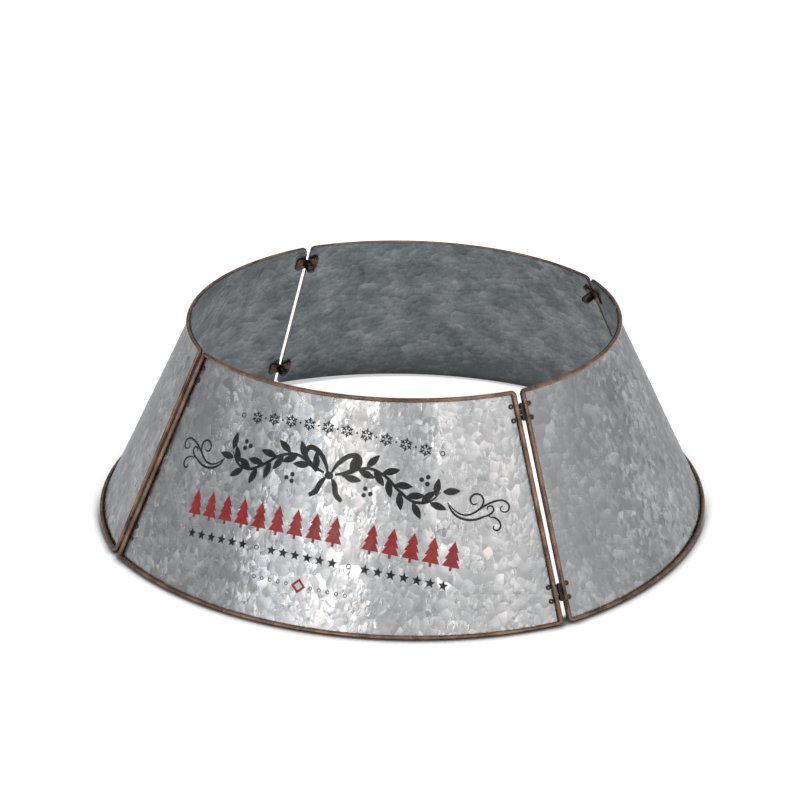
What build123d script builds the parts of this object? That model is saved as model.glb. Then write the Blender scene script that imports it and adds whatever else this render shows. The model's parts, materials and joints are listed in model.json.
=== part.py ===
from build123d import *
from math import asin, atan2, cos, degrees, hypot, radians, sin, sqrt
import os

# A collar that hides the stand of a christmas tree. Four curved walls of
# hammered sheet metal lean inward to the top, and each has a rim of round
# wire on its outer face. The two front corners are hinged, and the two back
# corners are held by quarter turn latches. Millimetres, +Z up, the origin on
# the floor under the middle of the ring, and the front wall faces -Y.

# Driving dimensions of the ring
collar_height = 206.0
corner_reach_bottom = 327.0
corner_reach_top = 227.0
wall_curve_share = 1.067
sheet_thickness = 0.8
rim_diameter = 4.2
rim_bend = 3.2
corner_gap = 5.2
upper_inset = 21.0
lower_inset = 28.0

# Rims and sheets: the bottom rims are flattened a little where they stand
foot_flat = 0.2
bend_leg_share = 1.2
half_share = 0.5
sheet_clearance = 0.1
sheet_floor_gap = 0.5
sheet_top_gap = 1.6
rim_clearance = 0.3

# Plates, feet and rivets, shared by hinges and latches
plate_half_width = 13.5
plate_height = 20.0
plate_thickness = 1.4
plate_round = 3.0
foot_radius = 3.0
seat_clearance = 0.05
rivet_offset = 10.0
rivet_rise = 6.8
rivet_head_radius = 2.6
rivet_head_height = 1.0
rivet_shank_radius = 1.7
rivet_bore_radius = 0.9
rivet_hole_clearance = 0.1

# Hinges: three knuckles on a pin in line with the rims, on necks that reach
# through the gap to a pad behind each wall
knuckle_radius = 1.8
knuckle_length = 5.0
knuckle_gap = 0.3
neck_gap = 0.2
neck_width = 1.4
pad_gap = 0.7
pin_radius = 0.9
pin_clearance = 0.1
pin_head_radius = 1.6
pin_head_height = 0.9

# Latches: a waisted plate, and a bolt with a bar head, a washer and a knob
latch_waist_height = 11.0
bolt_radius = 1.7
bolt_clearance = 0.3
bolt_bar_length = 17.0
bolt_bar_width = 3.2
bolt_bar_height = 3.0
bolt_bar_round = 0.8
washer_radius = 4.9
washer_thickness = 0.8
washer_clearance = 0.15
turning_gap = 0.3
knob_length = 12.0
knob_base_radius = 3.8
knob_radius = 5.0
knob_collar = 1.6
knob_dome = 4.2
knob_bore_depth = 7.0
knob_fit = 0.05

# What follows from these
wall_names = ["front", "right", "back", "left"]
corner_names = ["front_right", "back_right", "back_left", "front_left"]
sector = 360 / len(wall_names)
half_sector = sector / 2
front_azimuth = -90
rim_radius = rim_diameter / 2
rim_offset = corner_gap / 2 + rim_radius
bottom_level = rim_radius - foot_flat
top_level = collar_height - rim_radius
lean = degrees(atan2(corner_reach_bottom - corner_reach_top, top_level - bottom_level))
corner_length = hypot(corner_reach_bottom - corner_reach_top, top_level - bottom_level)
heights = {"upper": corner_length - upper_inset, "lower": lower_inset}
barrel_length = 3 * knuckle_length + 2 * knuckle_gap
side_knuckles = [0]
front_knuckles = [-knuckle_length - knuckle_gap, knuckle_length + knuckle_gap]


# How far a corner line stands from the axis at a level
def reach_at(level):
    share = (level - bottom_level) / (top_level - bottom_level)
    return corner_reach_bottom + share * (corner_reach_top - corner_reach_bottom)


# The radius of a wall's curve at a level: flatter than a circle round the axis
def curve_at(level):
    return wall_curve_share * reach_at(level)


# How far the centre of that curve lies from the axis, towards the wall
def setback_at(level):
    side = reach_at(level) * sin(radians(half_sector))
    front = reach_at(level) * cos(radians(half_sector))
    return front - sqrt(curve_at(level) ** 2 - side ** 2)


# Half the arc of a wall that stops at an offset from its corner planes
def end_turn(level, offset):
    lost = offset - setback_at(level) * sin(radians(half_sector))
    return half_sector - degrees(asin(lost / curve_at(level)))


# A point in the middle of a wall's sheet, in the frame of that wall
def wall_point(level, turn):
    x = curve_at(level) * sin(radians(turn))
    y = -setback_at(level) - curve_at(level) * cos(radians(turn))
    return Vector(x, y, level)


# A point in the middle of a wall's rim, in front of its sheet
def rim_point(level, turn):
    outward = Vector(sin(radians(turn)), -cos(radians(turn)), 0)
    return wall_point(level, turn) + outward * rim_rise / cos(radians(lean))


# How deep a wall lies behind its corner line, at an offset from the corner
def wall_depth(level, offset):
    point = wall_point(level, end_turn(level, offset))
    along = point.X * sin(radians(half_sector)) - point.Y * cos(radians(half_sector))
    return (reach_at(level) - along) * cos(radians(lean))


# A plane on a corner line: X runs round the ring, Y up the corner, Z outward
def corner_plane(corner, rise):
    azimuth = radians(front_azimuth + half_sector + corner * sector)
    out = Vector(cos(azimuth), sin(azimuth), 0)
    up = Vector(0, 0, 1)
    foot = out * corner_reach_bottom + up * bottom_level
    along = up * cos(radians(lean)) - out * sin(radians(lean))
    normal = out * cos(radians(lean)) + up * sin(radians(lean))
    return Plane(foot + along * rise, x_dir=(-sin(azimuth), cos(azimuth), 0), z_dir=normal)


# A plane square to a corner line: X runs round the ring and Y inward
def cross_plane(plane, rise):
    origin = plane.from_local_coords(Vector(0, rise, 0))
    return Plane(origin, x_dir=plane.x_dir, z_dir=plane.y_dir)


# A level slice of a wall, between two depths from the middle of its sheet
def wall_slice(wall, level, inward, outward, offset):
    wider = 1 / cos(radians(lean))
    centre = (0, -setback_at(level))
    turn = end_turn(level, offset)
    start = front_azimuth - turn
    with BuildSketch(Plane.XY.offset(level).rotated((0, 0, wall * sector))) as band:
        with BuildLine():
            outer = CenterArc(centre, curve_at(level) + outward * wider, start, 2 * turn)
            inner = CenterArc(centre, curve_at(level) - inward * wider, start, 2 * turn)
            Line(outer @ 0, inner @ 0)
            Line(outer @ 1, inner @ 1)
        make_face()
    return band.sketch


# A wall between two levels
def wall_solid(wall, low, high, inward, outward, offset):
    bottom = wall_slice(wall, low, inward, outward, offset)
    top = wall_slice(wall, high, inward, outward, offset)
    with BuildPart() as solid:
        loft(sections=[bottom, top], ruled=True)
    return solid.part


# Places in front of a corner line and behind it: the middle of the rims, the
# face of the bolt heads and the face of the plates
rim_rise = sheet_thickness / 2 + rim_radius + sheet_clearance
hinge_rise = rim_rise - wall_depth(bottom_level, rim_offset)
bolt_head_face = hinge_rise + rim_radius + rim_clearance
plate_depth = wall_depth(top_level, plate_half_width) + sheet_thickness / 2
plate_standoff = plate_depth + rim_clearance

# What feet and rivet heads are cut to, so that they sit on the sheet
seat = sheet_thickness / 2 + seat_clearance
seat_inside = [
    wall_solid(wall, bottom_level, top_level, seat, rim_diameter, 0)
    for wall in range(len(wall_names))
]
seat_outside = [
    wall_solid(wall, bottom_level, top_level, rim_diameter, seat, 0)
    for wall in range(len(wall_names))
]


# Each fastened plate: its corner, its height, its side of the corner, its wall
def fastened_plates():
    plates = []
    for corner, name in enumerate(corner_names):
        before = corner
        after = (corner + 1) % len(wall_names)
        for height in heights:
            if name.startswith("front"):
                plates.append((corner, height, -1, before))
                plates.append((corner, height, 1, after))
            elif wall_names[before] == "back":
                plates.append((corner, height, -1, before))
            else:
                plates.append((corner, height, 1, after))
    return plates


plates = fastened_plates()


# The places of a plate's two rivets in the plane of its corner
def rivet_places(side):
    return [(side * rivet_offset, -rivet_rise), (side * rivet_offset, rivet_rise)]


# The sheet of a wall, with round corners and its rivet holes
def make_sheet(wall):
    low = sheet_floor_gap
    high = collar_height - sheet_top_gap
    half = sheet_thickness / 2
    edge_offset = corner_gap / 2 + sheet_clearance
    corner_round = rim_bend + rim_radius
    with BuildPart() as sheet:
        add(wall_solid(wall, low, high, half, half, edge_offset))
        for corner, side in ((wall - 1, 1), (wall, -1)):
            for level, up in ((low, 1), (high, -1)):
                rise = (level - bottom_level) / cos(radians(lean))
                with BuildSketch(corner_plane(corner, rise)):
                    with Locations((side * edge_offset, 0)):
                        Rectangle(2 * corner_round, 2 * corner_round)
                    with Locations((side * (edge_offset + corner_round), up * corner_round)):
                        Circle(corner_round, mode=Mode.SUBTRACT)
                extrude(amount=rim_diameter, both=True, mode=Mode.SUBTRACT)
        for corner, height, side, owner in plates:
            if owner == wall:
                with BuildSketch(corner_plane(corner, heights[height]).offset(rim_radius)):
                    with Locations(*rivet_places(side)):
                        Circle(rivet_shank_radius + rivet_hole_clearance)
                extrude(amount=-rim_diameter, mode=Mode.SUBTRACT)
    return sheet


# The rim of a wall: one half is swept from bottom to top, then mirrored
def make_rim(wall):
    leg = bend_leg_share * rim_bend
    plane = Plane.XY.rotated((0, 0, wall * sector))
    arcs = []
    corners = []
    for level in (bottom_level, top_level):
        turn = end_turn(level, rim_offset + leg)
        ahead = Vector(cos(radians(turn)), sin(radians(turn)), 0)
        arcs.append([rim_point(level, turn * share) for share in (0, half_share, 1)])
        corners.append(arcs[-1][-1] + ahead * leg)
    bottom, top = [[plane.from_local_coords(point) for point in arc] for arc in arcs]
    low_corner, high_corner = [plane.from_local_coords(point) for point in corners]
    with BuildPart() as rim:
        with BuildLine() as path:
            ThreePointArc(*bottom)
            FilletPolyline(bottom[-1], low_corner, high_corner, top[-1], radius=rim_bend)
            ThreePointArc(*reversed(top))
        with BuildSketch(Plane(bottom[0], z_dir=plane.x_dir)):
            Circle(rim_radius)
        sweep(path=Wire(path.edges()))
        mirror(about=Plane(plane.origin, z_dir=plane.x_dir))
        split(bisect_by=Plane.XY, keep=Keep.TOP)
    return rim


# A rivet with a bored shank, its outer head cut to sit on the wall
def make_rivet(corner, height, wall, place):
    plane = corner_plane(corner, heights[height])
    depth = wall_depth(plane.origin.Z, rivet_offset)
    crown = sheet_thickness / 2 + rivet_head_height - depth
    inner_face = -plate_standoff - plate_thickness - seat_clearance
    length = crown - inner_face + rivet_head_height
    with BuildPart() as rivet:
        with BuildSketch(plane.offset(crown)):
            with Locations(place):
                Circle(rivet_head_radius)
        extrude(amount=-rivet_head_height - sheet_thickness)
        add(seat_outside[wall], mode=Mode.SUBTRACT)
        edges = rivet.edges().filter_by(GeomType.CIRCLE)
        fillet(edges.sort_by(Axis(plane.origin, plane.z_dir))[-1], rivet_head_height / 2)
        with BuildSketch(plane.offset(inner_face)):
            with Locations(place):
                Circle(rivet_head_radius)
        extrude(amount=-rivet_head_height)
        edges = rivet.edges().filter_by(GeomType.CIRCLE)
        fillet(edges.sort_by(Axis(plane.origin, plane.z_dir))[0], rivet_head_height / 2)
        with BuildSketch(plane.offset(crown)):
            with Locations(place):
                Circle(rivet_shank_radius)
        extrude(amount=-length)
        with BuildSketch(plane.offset(crown)):
            with Locations(place):
                Circle(rivet_bore_radius)
        extrude(amount=-length, mode=Mode.SUBTRACT)
    return rivet


# A hinge leaf: a flared pad on two feet behind a wall, and its share of the
# knuckles, each on a neck that passes between the rims
def make_leaf(corner, height, side, wall, knuckles):
    plane = corner_plane(corner, heights[height])
    pad_face = plane.offset(-plate_standoff)
    neck_middle = side * (neck_gap + neck_width / 2)
    inner_x = side * (neck_gap + neck_width + pad_gap)
    outer_x = side * plate_half_width
    low = barrel_length / 2
    high = plate_height / 2
    with BuildPart() as leaf:
        with BuildSketch(pad_face) as pad:
            with BuildLine():
                Polyline((inner_x, -low), (outer_x, -high), (outer_x, high), (inner_x, low), close=True)
            make_face()
            fillet(pad.vertices().sort_by(Axis.X, reverse=side > 0)[:2], plate_round)
            for middle in knuckles:
                with Locations((side * neck_gap / 2 + inner_x / 2, middle)):
                    Rectangle(abs(inner_x) - neck_gap, knuckle_length)
        extrude(amount=-plate_thickness)
        with BuildSketch(pad_face):
            with Locations(*rivet_places(side)):
                Circle(foot_radius)
        extrude(amount=plate_standoff)
        add(seat_inside[wall], mode=Mode.SUBTRACT)
        for middle in knuckles:
            with BuildSketch(pad_face):
                with Locations((neck_middle, middle)):
                    Rectangle(neck_width, knuckle_length)
            extrude(amount=plate_standoff + hinge_rise)
            with BuildSketch(cross_plane(plane, middle - knuckle_length / 2)):
                with Locations((0, -hinge_rise)):
                    Circle(knuckle_radius)
            extrude(amount=knuckle_length)
        with BuildSketch(cross_plane(plane, -barrel_length)):
            with Locations((0, -hinge_rise)):
                Circle(pin_radius + pin_clearance)
        extrude(amount=2 * barrel_length, mode=Mode.SUBTRACT)
        with BuildSketch(plane):
            with Locations(*rivet_places(side)):
                Circle(rivet_shank_radius + rivet_hole_clearance)
        extrude(amount=-2 * plate_standoff - plate_thickness, mode=Mode.SUBTRACT)
    return leaf


# A hinge pin with a head at each end
def make_pin(corner, height):
    plane = corner_plane(corner, heights[height])
    low = -barrel_length / 2 - seat_clearance
    with BuildPart() as pin:
        with BuildSketch(cross_plane(plane, low)):
            with Locations((0, -hinge_rise)):
                Circle(pin_radius)
        extrude(amount=-2 * low)
        with BuildSketch(cross_plane(plane, low)):
            with Locations((0, -hinge_rise)):
                Circle(pin_head_radius)
        extrude(amount=-pin_head_height)
        with BuildSketch(cross_plane(plane, -low)):
            with Locations((0, -hinge_rise)):
                Circle(pin_head_radius)
        extrude(amount=pin_head_height)
        ends = pin.faces().sort_by(Axis(plane.origin, plane.y_dir))
        fillet(ends[0].edges() + ends[-1].edges(), pin_head_height / 2)
    return pin


# A latch plate: waisted at the bolt, with two feet on the back wall
def make_latch_plate(corner, height, side, wall):
    plane = corner_plane(corner, heights[height])
    face = plane.offset(-plate_standoff)
    waist = latch_waist_height / 2
    end = plate_height / 2
    corners = [(plate_half_width, -end), (plate_half_width, end), (0, waist)]
    corners += [(-plate_half_width, end), (-plate_half_width, -end), (0, -waist)]
    with BuildPart() as plate:
        with BuildSketch(face) as outline:
            with BuildLine():
                Polyline(*corners, close=True)
            make_face()
            fillet(outline.vertices(), plate_round)
        extrude(amount=-plate_thickness)
        with BuildSketch(face):
            with Locations(*rivet_places(side)):
                Circle(foot_radius)
        extrude(amount=plate_standoff)
        add(seat_inside[wall], mode=Mode.SUBTRACT)
        with BuildSketch(plane):
            with Locations(*rivet_places(side)):
                Circle(rivet_shank_radius + rivet_hole_clearance)
            Circle(bolt_radius + bolt_clearance)
        extrude(amount=-2 * plate_standoff - plate_thickness, mode=Mode.SUBTRACT)
    return plate


# The right and back walls stay latched, and the bars at the other corner
# stand along the gap, ready to pass it
bar_turns = {"back_right": 90, "back_left": 0}
washer_face = -plate_standoff - plate_thickness - turning_gap
knob_face = washer_face - washer_thickness - seat_clearance


# A latch bolt: a bar that passes the gap between the rims, on a round shank
def make_bolt(corner, height):
    plane = corner_plane(corner, heights[height])
    with BuildPart() as bolt:
        with BuildSketch(plane.offset(bolt_head_face)):
            RectangleRounded(
                bolt_bar_width,
                bolt_bar_length,
                bolt_bar_width / 2 - seat_clearance,
                rotation=bar_turns[corner_names[corner]],
            )
        extrude(amount=bolt_bar_height)
        outer = bolt.faces().sort_by(Axis(plane.origin, plane.z_dir))[-1]
        fillet(outer.edges(), bolt_bar_round)
        with BuildSketch(plane.offset(bolt_head_face)):
            Circle(bolt_radius)
        extrude(amount=knob_face - knob_bore_depth + knob_fit - bolt_head_face)
    return bolt


# A washer under the knob
def make_washer(corner, height):
    plane = corner_plane(corner, heights[height])
    with BuildPart() as washer:
        with BuildSketch(plane.offset(washer_face)):
            Circle(washer_radius)
            Circle(bolt_radius + washer_clearance, mode=Mode.SUBTRACT)
        extrude(amount=-washer_thickness)
    return washer


# A knob: narrow at its base, wider along its grip, with a domed end
def make_knob(corner, height):
    plane = corner_plane(corner, heights[height])
    base = -knob_face
    grip = base + knob_collar
    tip = base + knob_length
    shoulder = tip - knob_dome
    dome_radius = (knob_radius**2 + knob_dome**2) / (2 * knob_dome)
    with BuildPart() as knob:
        with BuildSketch(cross_plane(plane, 0)):
            with BuildLine():
                Line((0, base), (knob_base_radius, base))
                Line((knob_base_radius, base), (knob_radius, grip))
                Line((knob_radius, grip), (knob_radius, shoulder))
                RadiusArc((knob_radius, shoulder), (0, tip), -dome_radius)
                Line((0, tip), (0, base))
            make_face()
        revolve(axis=Axis(plane.origin, plane.z_dir))
        with BuildSketch(plane.offset(knob_face)):
            Circle(bolt_radius + knob_fit)
        extrude(amount=-knob_bore_depth, mode=Mode.SUBTRACT)
    return knob


# Each piece is labelled and written under its own name
def write_piece(piece, name):
    piece.part.label = name
    export_step(piece.part, f"parts/{name}.step")


os.makedirs("parts", exist_ok=True)

for wall, name in enumerate(wall_names):
    write_piece(make_sheet(wall), f"{name}_sheet")
    write_piece(make_rim(wall), f"{name}_rim")

for corner, height, side, wall in plates:
    start = f"{corner_names[corner]}_{height}"
    if corner_names[corner].startswith("back"):
        write_piece(make_latch_plate(corner, height, side, wall), f"{start}_latch_plate")
        write_piece(make_bolt(corner, height), f"{start}_bolt")
        write_piece(make_washer(corner, height), f"{start}_washer")
        write_piece(make_knob(corner, height), f"{start}_knob")
    elif wall_names[wall] == "front":
        write_piece(make_leaf(corner, height, side, wall, front_knuckles), f"{start}_front_leaf")
        write_piece(make_pin(corner, height), f"{start}_pin")
    else:
        write_piece(make_leaf(corner, height, side, wall, side_knuckles), f"{start}_side_leaf")
    for count, place in enumerate(rivet_places(side), 1):
        rivet = make_rivet(corner, height, wall, place)
        write_piece(rivet, f"{start}_{wall_names[wall]}_rivet_{count}")
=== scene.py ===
import json
import math
from functools import partial

import bmesh
import bpy
import numpy as np
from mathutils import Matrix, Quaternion, Vector


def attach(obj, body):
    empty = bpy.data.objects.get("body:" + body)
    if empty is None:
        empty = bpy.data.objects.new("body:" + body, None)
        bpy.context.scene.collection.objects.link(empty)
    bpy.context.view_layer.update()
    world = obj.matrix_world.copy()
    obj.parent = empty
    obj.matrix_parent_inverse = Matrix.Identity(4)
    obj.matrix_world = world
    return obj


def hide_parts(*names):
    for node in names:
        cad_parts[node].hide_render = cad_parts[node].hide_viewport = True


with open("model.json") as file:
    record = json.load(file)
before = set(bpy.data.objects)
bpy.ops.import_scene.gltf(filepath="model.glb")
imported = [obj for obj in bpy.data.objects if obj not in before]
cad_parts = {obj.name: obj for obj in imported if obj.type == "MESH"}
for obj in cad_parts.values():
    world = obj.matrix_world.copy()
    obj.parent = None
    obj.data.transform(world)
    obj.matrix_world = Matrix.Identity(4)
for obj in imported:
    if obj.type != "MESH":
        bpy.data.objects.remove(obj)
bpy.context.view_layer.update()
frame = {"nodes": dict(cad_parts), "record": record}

mm = 0.001

# The ring's sizes as they are in the solids, in metres
ring = {
    "cornerReachBottom": 327.0 * mm,
    "cornerReachTop": 227.0 * mm,
    "curveShare": 1.067,  # a wall's curve against the corner's reach
    "bottomLevel": 1.9 * mm,
    "topLevel": 203.9 * mm,
    "sheetLow": 0.5 * mm,
    "sheetHigh": 204.4 * mm,
    "sheetEdge": 2.7 * mm,  # from the corner plane to the sheet's side edge
    "sheetCornerRound": 5.3 * mm,
    "sheetThickness": 0.8 * mm,
}

wallNames = ["front", "right", "back", "left"]
bodyOfWall = {
    "front": "front_wall",
    "right": "right_and_back_walls",
    "back": "right_and_back_walls",
    "left": "left_wall",
}

# Every wall is part of one cone: its tip lies on the ring's axis, above it
halfSector = math.radians(45)
drop = ring["topLevel"] - ring["bottomLevel"]
narrowing = ring["cornerReachBottom"] - ring["cornerReachTop"]
tipLevel = ring["bottomLevel"] + drop * ring["cornerReachBottom"] / narrowing
tipHeight = tipLevel - ring["bottomLevel"]
lean = math.atan2(narrowing, drop)
curveBottom = ring["cornerReachBottom"] * ring["curveShare"]
sideBottom = ring["cornerReachBottom"] * math.sin(halfSector)
setbackBottom = sideBottom - math.sqrt(curveBottom**2 - sideBottom**2)
rollRadius = math.hypot(setbackBottom + curveBottom, tipHeight)  # of the unrolled sheet


def hexToLinear(code):
    values = [int(code[i:i + 2], 16) / 255 for i in (1, 3, 5)]
    linear = [v / 12.92 if v <= 0.04045 else ((v + 0.055) / 1.055) ** 2.4 for v in values]
    return (*linear, 1.0)


def addNode(tree, kind, settings=None, links=None):
    node = tree.nodes.new(kind)
    for key, value in (settings or {}).items():
        setattr(node, key, value)
    for key, value in (links or {}).items():
        if isinstance(value, bpy.types.NodeSocket):
            tree.links.new(value, node.inputs[key])
        else:
            node.inputs[key].default_value = value
    return node.outputs


smooth = {"interpolation_type": "SMOOTHSTEP"}
inPlane = {"noise_dimensions": "2D"}


# Shaping
def startTree(name, inputs, output="Geometry", outputKind="Geometry"):
    tree = bpy.data.node_groups.new(name, "GeometryNodeTree")
    for label, kind, value in inputs:
        socket = tree.interface.new_socket(
            label, in_out="INPUT", socket_type="NodeSocket" + kind)
        if value is not None:
            socket.default_value = value
    tree.interface.new_socket(output, in_out="OUTPUT", socket_type="NodeSocket" + outputKind)
    return tree, partial(addNode, tree)


dents = {
    "size": 11.0 * mm,  # across one shallow hammer mark
    "depth": 0.20 * mm,
    "smooth": 0.35,
    "markRange": (0.0, 0.7),  # of the distance to a mark's middle
    "wave": 75.0 * mm,  # slow waviness of thin sheet
    "waveDepth": 0.35 * mm,
    "waveRange": (0.2, 0.8),
}


def makeRollTree():
    # From the flat cut of a wall, x along and y up it, to its place on the ring
    tree, add = startTree("roll_to_wall", [
        ("Flat", "Vector", None),
        ("Lift", "Float", 0.0),
        ("Dent Share", "Float", 1.0),
        ("Wall", "Float", 0.0),
    ], "Position", "Vector")
    given = add("NodeGroupInput")
    flat = add("ShaderNodeSeparateXYZ", links={0: given["Flat"]})
    made = {"x": flat[0], "y": flat[1], "wall": given["Wall"]}
    steps = [
        ("below", "SUBTRACT", rollRadius, "y"),
        ("angle", "ARCTAN2", "x", "below"),
        ("xx", "MULTIPLY", "x", "x"),
        ("bb", "MULTIPLY", "below", "below"),
        ("squares", "ADD", "xx", "bb"),
        ("radius", "SQRT", "squares", 0.0),
        ("share", "DIVIDE", "radius", rollRadius),
        ("turn", "MULTIPLY", "angle", rollRadius / curveBottom),
        ("sine", "SINE", "turn", 0.0),
        ("cosine", "COSINE", "turn", 0.0),
        ("across", "MULTIPLY", "sine", curveBottom),
        ("ahead", "MULTIPLY", "cosine", -curveBottom),
        ("out", "SUBTRACT", "ahead", setbackBottom),
        ("patternX", "ADD", "x", "wall"),  # a metre on for each wall, so no two are alike
        ("quarter", "MULTIPLY", "wall", math.pi / 2),
    ]
    for name, operation, first, second in steps:
        made[name] = add("ShaderNodeMath", {"operation": operation}, {
            0: made.get(first, first), 1: made.get(second, second)})[0]
    foot = add("ShaderNodeCombineXYZ", links={
        0: made["across"], 1: made["out"], 2: -tipHeight})[0]
    along = add("ShaderNodeCombineXYZ", links={0: made["cosine"], 1: made["sine"], 2: 0.0})[0]
    square = add("ShaderNodeVectorMath", {"operation": "CROSS_PRODUCT"}, {0: foot, 1: along})[0]
    normal = add("ShaderNodeVectorMath", {"operation": "NORMALIZE"}, {0: square})[0]
    place = add("ShaderNodeVectorMath", {"operation": "SCALE"}, {
        0: foot, "Scale": made["share"]})[0]
    place = add("ShaderNodeVectorMath", {"operation": "ADD"}, {
        0: place, 1: (0.0, 0.0, tipLevel)})[0]
    pattern = add("ShaderNodeCombineXYZ", links={0: made["patternX"], 1: made["y"], 2: 0.0})[0]
    marks = add("ShaderNodeTexVoronoi", {
        "voronoi_dimensions": "2D", "feature": "SMOOTH_F1"}, {
        "Vector": pattern, "Scale": 1 / dents["size"], "Smoothness": dents["smooth"]})["Distance"]
    waves = add("ShaderNodeTexNoise", inPlane, {
        "Vector": pattern, "Scale": 1 / dents["wave"], "Detail": 0.0})[0]
    marks = add("ShaderNodeMapRange", links={
        0: marks, 1: dents["markRange"][0], 2: dents["markRange"][1],
        3: -dents["depth"], 4: dents["depth"]})[0]
    waves = add("ShaderNodeMapRange", links={
        0: waves, 1: dents["waveRange"][0], 2: dents["waveRange"][1],
        3: -dents["waveDepth"], 4: 0.0})[0]
    depth = add("ShaderNodeMath", {"operation": "ADD"}, {0: marks, 1: waves})[0]
    depth = add("ShaderNodeMath", {"operation": "MULTIPLY_ADD"}, {
        0: depth, 1: given["Dent Share"], 2: given["Lift"]})[0]
    push = add("ShaderNodeVectorMath", {"operation": "SCALE"}, {0: normal, "Scale": depth})[0]
    place = add("ShaderNodeVectorMath", {"operation": "ADD"}, {0: place, 1: push})[0]
    place = add("ShaderNodeVectorRotate", {"rotation_type": "Z_AXIS"}, {
        "Vector": place, "Angle": made["quarter"]})[0]
    add("NodeGroupOutput", links={0: place})
    return tree


rollTree = makeRollTree()

sheet = {
    "columns": 200,
    "rows": 112,
    "sideFade": (13.0 * mm, 24.0 * mm),  # marks fade out before plates and rivets
    "endFade": (5.0 * mm, 12.0 * mm),  # and before the rims
    "calmFade": (2.0 * mm, 8.0 * mm),  # beside the rims crystals lie flat too
    "outsideFrom": 0.5,  # how far a face turns outwards to take the bright outer finish, not the darker painted-shade copy
    "sharpFrom": math.radians(40),
}


def makeSheetTree():
    # The cut of one wall: an even grid with round corners, rolled to its place
    tree, add = startTree("hammered_sheet", [
        ("Columns", "Int", sheet["columns"]),
        ("Rows", "Int", sheet["rows"]),
        ("Wall", "Float", 0.0),
        ("Material", "Material", None),
    ])
    given = add("NodeGroupInput")
    grid = add("GeometryNodeMeshGrid", links={
        0: 2.0, 1: 1.0, 2: given["Columns"], 3: given["Rows"]})["Mesh"]
    position = add("GeometryNodeInputPosition")[0]
    spot = add("ShaderNodeSeparateXYZ", links={0: position})
    made = {"x": spot[0], "y": spot[1]}
    low, high = ring["sheetLow"], ring["sheetHigh"]
    bend = ring["sheetCornerRound"]
    steps = [
        ("phase", "MULTIPLY", "y", math.pi),
        ("eased", "SINE", "phase", 0.0),  # rows lie closer near both ends
        ("part", "MULTIPLY", "eased", (high - low) / 2),
        ("level", "ADD", "part", (high + low) / 2),
        ("fromTip", "SUBTRACT", tipLevel, "level"),
        ("share", "DIVIDE", "fromTip", tipHeight),
        ("above", "SUBTRACT", "level", low),
        ("under", "SUBTRACT", high, "level"),
        ("nearest", "MINIMUM", "above", "under"),
        ("endWay", "DIVIDE", "nearest", math.cos(lean)),
        ("inBend", "SUBTRACT", bend, "endWay"),
        ("inBend", "MAXIMUM", "inBend", 0.0),
        ("inBend", "MULTIPLY", "inBend", "inBend"),
        ("rest", "SUBTRACT", bend**2, "inBend"),
        ("rest", "MAXIMUM", "rest", 0.0),
        ("rest", "SQRT", "rest", 0.0),
        ("edge", "SUBTRACT", ring["sheetEdge"] + bend, "rest"),
        ("edge", "DIVIDE", "edge", "share"),
        ("edge", "SUBTRACT", "edge", setbackBottom * math.sin(halfSector)),
        ("edge", "DIVIDE", "edge", curveBottom),
        ("lost", "ARCSINE", "edge", 0.0),
        ("half", "SUBTRACT", halfSector, "lost"),
        ("turn", "MULTIPLY", "half", "x"),
        ("angle", "MULTIPLY", "turn", curveBottom / rollRadius),
        ("radius", "MULTIPLY", "share", rollRadius),
        ("sine", "SINE", "angle", 0.0),
        ("cosine", "COSINE", "angle", 0.0),
        ("flatX", "MULTIPLY", "radius", "sine"),
        ("flatY", "MULTIPLY", "radius", "cosine"),
        ("flatY", "SUBTRACT", rollRadius, "flatY"),
        ("side", "ABSOLUTE", "x", 0.0),
        ("side", "SUBTRACT", 1.0, "side"),
        ("side", "MULTIPLY", "side", "half"),
        ("side", "MULTIPLY", "side", "share"),
        ("side", "MULTIPLY", "side", curveBottom),
    ]
    for name, operation, first, second in steps:
        made[name] = add("ShaderNodeMath", {"operation": operation}, {
            0: made.get(first, first), 1: made.get(second, second)})[0]
    fades = []
    for way, (start, end) in (("side", sheet["sideFade"]), ("endWay", sheet["endFade"])):
        fades.append(add("ShaderNodeMapRange", smooth, {
            0: made[way], 1: start, 2: end, 3: 0.0, 4: 1.0})[0])
    fade = add("ShaderNodeMath", {"operation": "MULTIPLY"}, {0: fades[0], 1: fades[1]})[0]
    flat = add("ShaderNodeCombineXYZ", links={0: made["flatX"], 1: made["flatY"]})[0]
    shift = add("ShaderNodeCombineXYZ", links={0: given["Wall"]})[0]
    pattern = add("ShaderNodeVectorMath", {"operation": "ADD"}, {0: flat, 1: shift})[0]
    stored = add("GeometryNodeStoreNamedAttribute", {
        "data_type": "FLOAT_VECTOR", "domain": "POINT"}, {
        "Geometry": grid, "Name": "sheetMap", "Value": pattern})[0]
    edgeWay = add("ShaderNodeMath", {"operation": "MINIMUM"}, {
        0: made["side"], 1: made["endWay"]})[0]
    calm = add("ShaderNodeMapRange", smooth, {
        0: edgeWay, 1: sheet["calmFade"][0], 2: sheet["calmFade"][1]})[0]
    stored = add("GeometryNodeStoreNamedAttribute", {
        "data_type": "FLOAT", "domain": "POINT"}, {
        "Geometry": stored, "Name": "tiltShare", "Value": calm})[0]
    rolled = add("GeometryNodeGroup", {"node_tree": rollTree}, {
        "Flat": flat, "Lift": 0.0, "Dent Share": fade, "Wall": given["Wall"]})[0]
    moved = add("GeometryNodeSetPosition", links={"Geometry": stored, "Position": rolled})[0]
    whole = add("GeometryNodeRealizeInstances", links={0: moved})[0]
    done = add("GeometryNodeSetMaterial", links={
        "Geometry": whole, "Material": given["Material"]})[0]
    add("NodeGroupOutput", links={0: done})
    return tree


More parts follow.
